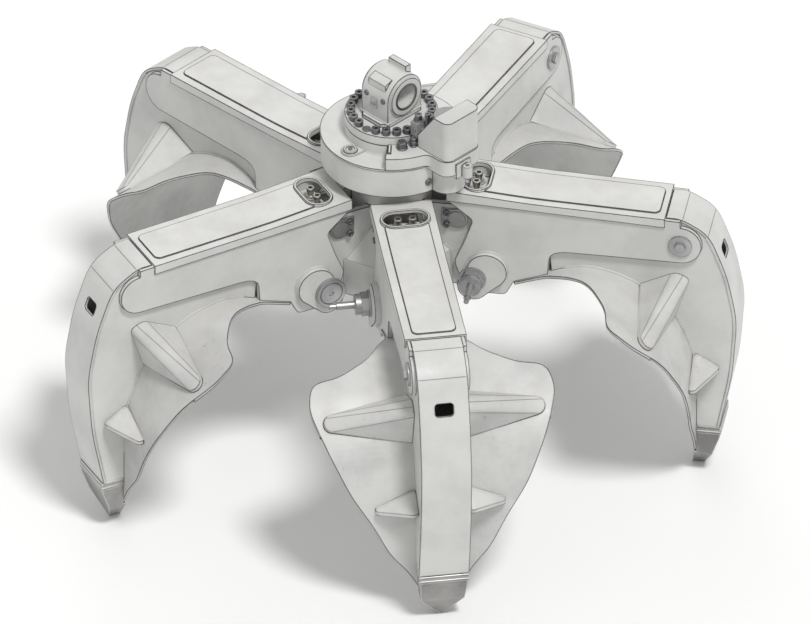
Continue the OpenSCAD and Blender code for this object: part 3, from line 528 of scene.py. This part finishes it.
# Weld beads that run round the joints of every tine
tineWelds = {
    "radius": 4.4,
    "fine": 3.0,
    "fineStep": 5.0,
    "lift": 1.5,  # how far a bead's middle stands off its faces
    "armFace": 101.0,
    "strapGrow": 0.35,
    "strapTop": (49, 32, 68),
    "strapLow": (0, -34, 53),
    "tooth": (768, 846, -554),
    "toothHalf": 84.0,
    "stripIn": (9.0, 4.5),
    "leafFrom": 300.0,
    "stripFrom": 800.0,
    "ribBend": 30.0,
    "ribFoot": [(569, 84), (606, 351), (628, 383), (650, 351), (690, 84)],
    "finOver": [(757, 85, -254), (762, 222, -312)],
    "finUnder": [(758, 85, -270), (763, 220, -330)],
}


def strapPath(w):
    (x1, z1, r1), (x2, z2, r2) = w["strapTop"], w["strapLow"]
    lean = atan2(z2 - z1, x2 - x1)
    opening = atan2(sqrt(hypot(x2 - x1, z2 - z1) ** 2 - (r1 - r2) ** 2), r1 - r2)
    grow = w["radius"] * w["strapGrow"]
    path = arcPoints((x1, z1), r1 + grow, lean + opening, 2 * pi - 2 * opening, steps=24)
    path += arcPoints((x2, z2), r2 + grow, lean - opening, 2 * opening, steps=16)
    return [(x, w["armFace"], z) for x, z in path + path[:1]]


def tineWeldMesh(w):
    lift, (stripR, stripZ) = w["lift"], w["stripIn"]
    face = tineLines["spineFace"] + lift
    leaf = [(r + lift, face, z + lift) for r, z in leafLine if r > w["leafFrom"] and z > tineLines["spineEnd"]]
    strip = [(r - stripR, face, z - stripZ) for r, z in backLine if r > w["stripFrom"]]
    inner, outer, level = w["tooth"]
    side = [(inner, w["toothHalf"], level), (outer, w["toothHalf"], level)]
    foot = [(r, t, heightAt(leafLine, r) + lift) for r, t in roundLine(w["ribFoot"], w["ribBend"])]
    lists = [beadLists(path, w["radius"]) for path in bothSides([leaf, strapPath(w), side])]
    fine = [strip, foot, w["finOver"], w["finUnder"]]
    lists += [beadLists(path, w["fine"], w["fineStep"]) for path in bothSides(fine)]
    return meshFrom("tineWelds", lists, smooth=True)


onEachTine("tineWelds", tineWeldMesh(tineWelds), "weld")
print("tine welds laid")


# Creases pressed across the back strip, in the middle of its two upper bends
stripCreases = {"corners": (1, 2), "half": 85.0, "radius": 1.5, "step": 12.0}


def stripCreasePaths(c):
    middles = [backLine[1 + (corner - 1) * (bendSteps + 1) + bendSteps // 2] for corner in c["corners"]]
    return [[(r, -c["half"], z), (r, c["half"], z)] for r, z in middles]


stripMesh = creaseMesh("stripCreases", stripCreasePaths(stripCreases), stripCreases["radius"], stripCreases["step"])
onEachTine("stripCreases", stripMesh, "seam")


# Bend lines along the crest of each tent rib, where its flat sides run into the rounded crest
ribCreases = {
    "radius": 1.3,
    "step": 12.0,
    "lines": [
        [(677.1, 86, 69.1), (616.0, 356.0, -9.5)],
        [(719.5, 86, 67.0), (624.0, 374.4, -17.0)],
        [(738.1, 86, 36.9), (659.3, 357.0, -49.7)],
    ],
}
ribMesh = creaseMesh("ribCreases", bothSides(ribCreases["lines"]), ribCreases["radius"], ribCreases["step"])
onEachTine("ribCreases", ribMesh, "seam")


# Grease nipple in the head of each pivot pin
greasePoint = {
    "centre": (0, 126, 0),
    "profile": [(7.5, 0), (7.5, 3), (4.5, 4), (4.5, 5.5), (3.2, 6.2), (3.9, 7.4), (3.2, 8.8), (1.2, 9.4)],
}
nipple = turnedLists(greasePoint["profile"], greasePoint["centre"], (0, 1, 0), sides=20)
onEachTine("greaseNipple", meshFrom("greaseNipple", [nipple], smooth=True), "fitting_steel")
print("creases and grease nipples set")


# Cross plate under each cover window, with two hose couplings that stand up into the window
hoseCouplings = {
    "plate": (-30, 32, -77.5, 77.5),
    "plateLayers": [(294, 0.98), (295, 1.0), (299, 1.0), (300, 0.985)],
    "seat": [(21, 299.5), (21, 301.5), (19.5, 302.5), (15.5, 302.5)],
    "screws": [(23, -62), (23, 62), (-23, -62), (-23, 62)],
    "screw": [(6.5, 299.5), (6.5, 303.5), (5.5, 304.5), (3.2, 304.5), (2.9, 302.5), (0.5, 302.5)],
    "reach": -1,
    "apart": 25.0,
    "profile": [(15, 300), (16.5, 301.5), (16.5, 310), (15, 312), (11, 312.5), (11, 324), (13, 325), (13.5, 327),
        (13.5, 338), (12, 341), (8.5, 341), (8, 336), (7.5, 322), (1, 321)],
}


def couplingPlateMesh(h):
    lists = [boxLists(h["plate"], h["plateLayers"])]
    lists += [turnedLists(h["seat"], (h["reach"], t, 0), (0, 0, 1), sides=28) for t in (-h["apart"], h["apart"])]
    lists += [turnedLists(h["screw"], (r, t, 0), (0, 0, 1), sides=16) for r, t in h["screws"]]
    return meshFrom("couplingPlate", lists)


def couplingMesh(h):
    return meshFrom("hoseCouplings",
        [turnedLists(h["profile"], (h["reach"], t, 0), (0, 0, 1), sides=24) for t in (-h["apart"], h["apart"])])


onEachTine("couplingPlate", couplingPlateMesh(hoseCouplings), "painted_steel")
onEachTine("hoseCouplings", couplingMesh(hoseCouplings), "fitting_steel")
print("hose couplings set")


# Weld rings and port nuts on each cylinder, placed from its base pin
cylinderTrim = {
    "basePin": (-60, 216),
    "rodPin": (712, 199),
    "rings": [(50.5, 47), (50.5, 524)],
    "ringRadius": 2.6,
    "ports": [(62, -22), (62, 22)],
    "nut": [(16, 56), (17, 57), (17, 66), (15.5, 67.5), (12, 68), (12, 72), (9, 73)],
}


# The barrel lies on the line between its two pins, in the frame of its tine
def onEachBarrel(name, mesh, finish):
    (x0, z0), (x1, z1) = cylinderTrim["basePin"], cylinderTrim["rodPin"]
    base = Vector((x0, 0, z0)) * millimetre
    mesh.transform(Matrix.Translation(base) @ Matrix.Rotation(atan2(z0 - z1, x1 - x0), 4, "Y"))
    onEachTine(name, mesh, finish, body="barrel_{}")


rings = [beadLists(ringPath(r, (x, 0, 0), (1, 0, 0)), cylinderTrim["ringRadius"]) for r, x in cylinderTrim["rings"]]
onEachBarrel("barrelWelds", meshFrom("barrelWelds", rings, smooth=True), "weld")
nuts = [turnedLists(cylinderTrim["nut"], (x, t, 0), (0, 0, 1), sides=6) for x, t in cylinderTrim["ports"]]
onEachBarrel("portNuts", meshFrom("portNuts", nuts), "fitting_steel")
print("cylinder trim set")


# Weld beads on the hub, up the outside of each ear. Heights count from the tine pivots.
hubWelds = {
    "radius": 4.5,
    "earFace": 77.2,
    "line": [(219, -62), (219, 80), (114, 190), (114, 268)],
}


def hubWeldMesh(w):
    pivotZ = place["pivotZ"] / millimetre
    paths = bothSides([[(r, w["earFace"], z + pivotZ) for r, z in w["line"]]])
    lists = [beadLists([tuple(tineTurn(k) @ Vector(p)) for p in path], w["radius"])
        for k in tineNumbers for path in paths]
    return meshFrom("hubWelds", lists, smooth=True)


addObject("hubWelds", hubWeldMesh(hubWelds), "hub", "weld")
print("hub welds laid")


# Weld beads of the hanger head, counted from the bore centre
headWelds = {
    "radius": 4.2,
    "fine": 2.8,
    "fineStep": 5.0,
    "block": (63.5, 81, -80),
    "bossRing": (71, 63),
    "neckRing": (161, -168),
    "ribHalf": 41.0,
    "ribFeet": [(51, 62.5), (27, 76), (-38, 71), (-70, 40)],
}


def headWeldMesh(w):
    x, y, z = w["block"]
    pad = [(x, y, z), (x, -y, z), (-x, -y, z), (-x, y, z), (x, y, z)]
    bossR, bossX = w["bossRing"]
    neckR, neckZ = w["neckRing"]
    fine = [ringPath(bossR, (side * bossX, 0, 0), (1, 0, 0)) for side in (-1, 1)]
    fine += [[(-w["ribHalf"], footY, footZ), (w["ribHalf"], footY, footZ)] for footY, footZ in w["ribFeet"]]
    lists = [beadLists(pad, w["radius"]), beadLists(ringPath(neckR, (0, 0, neckZ), (0, 0, 1)), w["fine"])]
    lists += [beadLists(path, w["fine"], w["fineStep"]) for path in fine]
    return meshFrom("headWelds", lists, smooth=True)


addObject("headWelds", headWeldMesh(headWelds), "head", "weld")


# Grease boss on the housing roof, pointed toward the neck, and the plug low in the housing wall
housingPlugs = {
    "boss": (-5, -193, -169),
    "bossR": 33.0,
    "point": (36, -152),
    "blunt": 4.0,
    "layers": [(-0.5, 1.0), (4.0, 1.0), (6.0, 0.93)],
    "seat": [(24, 5), (24, 9), (22.5, 11), (16, 11), (15, 8.5), (8, 8.5)],
    "nipple": [(8, 8), (8, 12), (5, 13), (5, 14.5), (6, 16), (4.5, 18), (1.5, 18.6)],
    "plugAngle": -13.6,
    "plugFace": 241.2,
    "plugZ": -244.0,
    "plug": [(13, 0), (13, 5), (11.5, 6.8), (6.5, 6.8), (6, 3), (1.5, 2.5)],
}


def bossOutline(h):
    cx, cy, _ = h["boss"]
    px, py = h["point"]
    reach, lean = hypot(px - cx, py - cy), atan2(py - cy, px - cx)
    opening = acos(h["bossR"] / reach)
    blunt = (px - cx - h["blunt"] * cos(lean), py - cy - h["blunt"] * sin(lean))
    return arcPoints((0, 0), h["bossR"], lean + opening, 2 * pi - 2 * opening, steps=40) + [blunt]


bossLists = [slabLists(bossOutline(housingPlugs), housingPlugs["boss"], housingPlugs["layers"]),
    turnedLists(housingPlugs["seat"], housingPlugs["boss"], (0, 0, 1), sides=32)]
bossPiece = addObject("greaseBoss", meshFrom("greaseBoss", bossLists), "head", "painted_steel")
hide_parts("housing_plugs")
plugTurn = radians(housingPlugs["plugAngle"])
plugAxis = (cos(plugTurn), sin(plugTurn), 0)
plugAt = (housingPlugs["plugFace"] * plugAxis[0], housingPlugs["plugFace"] * plugAxis[1], housingPlugs["plugZ"])
plugLists = [turnedLists(housingPlugs["plug"], plugAt, plugAxis, sides=24),
    turnedLists(housingPlugs["nipple"], housingPlugs["boss"], (0, 0, 1), sides=16)]
addObject("housingPlug", meshFrom("housingPlug", plugLists), "head", "dark_fastener")
print("housing plugs set")


# Dark rims round the two mouths of the hanger bore: painted shade, a dark ring that stands for the shaded inside of
# the bore
boreShadeRims = {
    "face": 72.0,
    "profile": [(42.7, 0), (42.7, 0.5), (43.6, 1.4), (50.5, 1.4), (51.4, 0.4), (51.4, 0), (42.7, 0)],
}
shadeRims = [turnedLists(boreShadeRims["profile"], (side * boreShadeRims["face"], 0, 0), (side, 0, 0), sides=72)
    for side in (-1, 1)]
addObject("boreShadeRims", meshFrom("boreShadeRims", shadeRims), "head", "dark_fastener")


# Two screwed plugs on the side of the head
headPlugs = {
    "y": -79.6,
    "places": [(-39.5, 3), (39.5, 3)],
    "profile": [(10, 0), (10, 3.5), (8.8, 5), (4.8, 5), (4.2, 2.5), (1, 2.2)],
}
plugs = [turnedLists(headPlugs["profile"], (x, headPlugs["y"], z), (0, -1, 0), sides=24)
    for x, z in headPlugs["places"]]
addObject("headPlugs", meshFrom("headPlugs", plugs), "head", "dark_fastener")


# Blank plate below them, framed and held by four rivets. Its outline lies flat and is then set upright.
blankPlate = {
    "centre": (-3, -80, -19),
    "half": (16, 21),
    "corner": 3.0,
    "field": 1.1,
    "layers": [(0, 1.0), (2.0, 1.0), (2.6, 0.96), (2.6, 0.84), (1.1, 0.80)],
    "rivetIn": 6.0,
    "rivet": [(1.8, 0), (1.8, 0.5), (1.08, 1.1), (0.2, 1.3)],
}


def blankPlateMesh(b):
    (cx, cy, cz), (hx, hz), corner, rivetIn = b["centre"], b["half"], b["corner"], b["rivetIn"]
    outline = []
    for i, (sx, sz) in enumerate(((1, 1), (-1, 1), (-1, -1), (1, -1))):
        outline += arcPoints((sx * (hx - corner), sz * (hz - corner)), corner, i * pi / 2, pi / 2, steps=5)
    lists = [slabLists(outline, (0, 0, 0), b["layers"])]
    lists += [turnedLists(b["rivet"], (sx * (hx - rivetIn), sz * (hz - rivetIn), b["field"]), (0, 0, 1), sides=12)
        for sx in (-1, 1) for sz in (-1, 1)]
    verts, faces = joinLists(lists)
    return meshFrom("blankPlate", [([(cx + x, cy - z, cz + y) for x, y, z in verts], faces)])


addObject("blankPlate", blankPlateMesh(blankPlate), "head", "machined_steel")


# Port block in the open side of the guard, with its hose adapters, and a ringed adapter on the bracket
motorPorts = {
    "block": (152, 185.5, -60, -9),
    "layers": [(-86.5, 0.97), (-85, 1.0), (-32.5, 1.0), (-31, 0.95)],
    "seat": [(17, -0.5), (17, 3), (14, 3), (14, 5)],
    "plug": [(9, -0.5), (9, 2), (8, 3), (4, 3), (3.6, 1), (0.6, 1)],
    "plugAt": (168, -60, -57),
    "hex": [(15, 5), (15, 23), (13, 25), (8, 25), (8, 21), (1, 21)],
    "hexAt": (166, -37, -31),
    "tall": [(8, 0), (8, 44), (11, 44), (11, 56), (9.5, 58), (5, 58), (5, 52), (1, 52)],
    "tallAt": (198, -25, -52),
    "stack": [(13, 0), (13, 5), (9, 6), (9, 12), (13, 13), (13, 21), (9.5, 22), (9.5, 27), (12, 28), (12, 35),
        (8, 37), (5, 37), (5, 33), (1, 33)],
    "stackAt": (171, -66, -122),
}
portLists = [boxLists(motorPorts["block"], motorPorts["layers"]),
    turnedLists(motorPorts["seat"], motorPorts["hexAt"], (0, 0, 1), sides=28),
    turnedLists(motorPorts["plug"], motorPorts["plugAt"], (0, -1, 0), sides=24)]
addObject("portBlock", meshFrom("portBlock", portLists), "head", "motor_paint")
adapterLists = [turnedLists(motorPorts["hex"], motorPorts["hexAt"], (0, 0, 1), sides=6),
    turnedLists(motorPorts["tall"], motorPorts["tallAt"], (0, 0, 1), sides=6),
    turnedLists(motorPorts["stack"], motorPorts["stackAt"], (0, 0, 1), sides=24)]
addObject("portAdapters", meshFrom("portAdapters", adapterLists), "head", "dark_fastener")


# Lug at the right end of the motor bracket: a block below, a plate on the end face and a round boss
bracketLug = {
    "block": (309, 340, -28, 40),
    "blockLayers": [(-197, 0.97), (-195, 1.0), (-169.2, 1.0)],
    "plate": (334.2, 340, -28, 40),
    "plateLayers": [(-169.3, 1.0), (-138, 1.0), (-136.5, 0.96)],
    "boss": [(16.5, -197), (17.5, -195.5), (17.5, -151.5), (16, -150), (5, -150), (5, -158), (1, -158)],
    "bossAt": (353, 12, 0),
}
lugLists = [boxLists(bracketLug["block"], bracketLug["blockLayers"]),
    boxLists(bracketLug["plate"], bracketLug["plateLayers"]),
    turnedLists(bracketLug["boss"], bracketLug["bossAt"], (0, 0, 1), sides=40)]
addObject("bracketLug", meshFrom("bracketLug", lugLists), "head", "painted_steel")


# Socket caps on the two screws of each keeper plate, placed in each tine's frame but riding on the hub
keeperCaps = {
    "reach": -95,
    "heights": (192, 240),
    "face": 85,
    "profile": [(11.5, 0), (11.5, 9.5), (10.3, 11), (6, 11), (5.6, 7.5), (1, 7.4)],
}
caps = [
    turnedLists(keeperCaps["profile"], (keeperCaps["reach"], side * keeperCaps["face"], h), (0, side, 0), sides=24)
    for side in (-1, 1) for h in keeperCaps["heights"]]
onEachTine("keeperCaps", meshFrom("keeperCaps", caps), "dark_fastener", body="hub")
print("head trim set")


# Pale floor just under the tips
floorValues = {"size": 14.0, "colour": (0.93, 0.93, 0.925), "rough": 0.9, "gap": 0.0005}
floorMesh = bpy.data.meshes.new("paleFloor")
reach = floorValues["size"] / 2
corners = [(-reach, -reach, 0), (reach, -reach, 0), (reach, reach, 0), (-reach, reach, 0)]
floorMesh.from_pydata(corners, [], [(0, 1, 2, 3)])
paleFloor = bpy.data.objects.new("paleFloor", floorMesh)
paleFloor.location.z = place["floorZ"] - floorValues["gap"]
bpy.context.scene.collection.objects.link(paleFloor)
floorFinish = bpy.data.materials.new("paleFloor")
floorFinish.use_nodes = True
floorShader = floorFinish.node_tree.nodes["Principled BSDF"]
floorShader.inputs["Base Color"].default_value = (*floorValues["colour"], 1)
floorShader.inputs["Roughness"].default_value = floorValues["rough"]
floorMesh.materials.append(floorFinish)

# Soft studio light: strength, turn and softness of each lamp, angles in degrees
lamps = {
    "world": 0.5,
    "backdrop": 1.0,
    "suns": [("key", 1.9, (27, 8, 60), 12), ("fill", 0.3, (50, 0, -120), 40)],
}
world = bpy.data.worlds.new("studio")
world.use_nodes = True
studio, background = world.node_tree, world.node_tree.nodes["Background"]
background.inputs["Color"].default_value = (1, 1, 1, 1)
# The backdrop shows white to the camera and in reflections, and lights the object softly
lightPath = studio.nodes.new("ShaderNodeLightPath")
seen = mathNode(studio, "MAXIMUM", lightPath.outputs["Is Camera Ray"], lightPath.outputs["Is Glossy Ray"])
seen = mathNode(studio, "MAXIMUM", seen, lightPath.outputs["Is Transmission Ray"])
strength = rangeNode(studio, seen, 0.0, 1.0, lamps["world"], lamps["backdrop"])
studio.links.new(strength, background.inputs["Strength"])
bpy.context.scene.world = world
for name, power, turn, soft in lamps["suns"]:
    lampData = bpy.data.lights.new(name, "SUN")
    lampData.energy = power
    lampData.angle = radians(soft)
    lamp = bpy.data.objects.new(name, lampData)
    lamp.rotation_euler = [radians(a) for a in turn]
    bpy.context.scene.collection.objects.link(lamp)
bpy.context.scene.view_settings.view_transform = "Standard"
print("stage and lamps set")
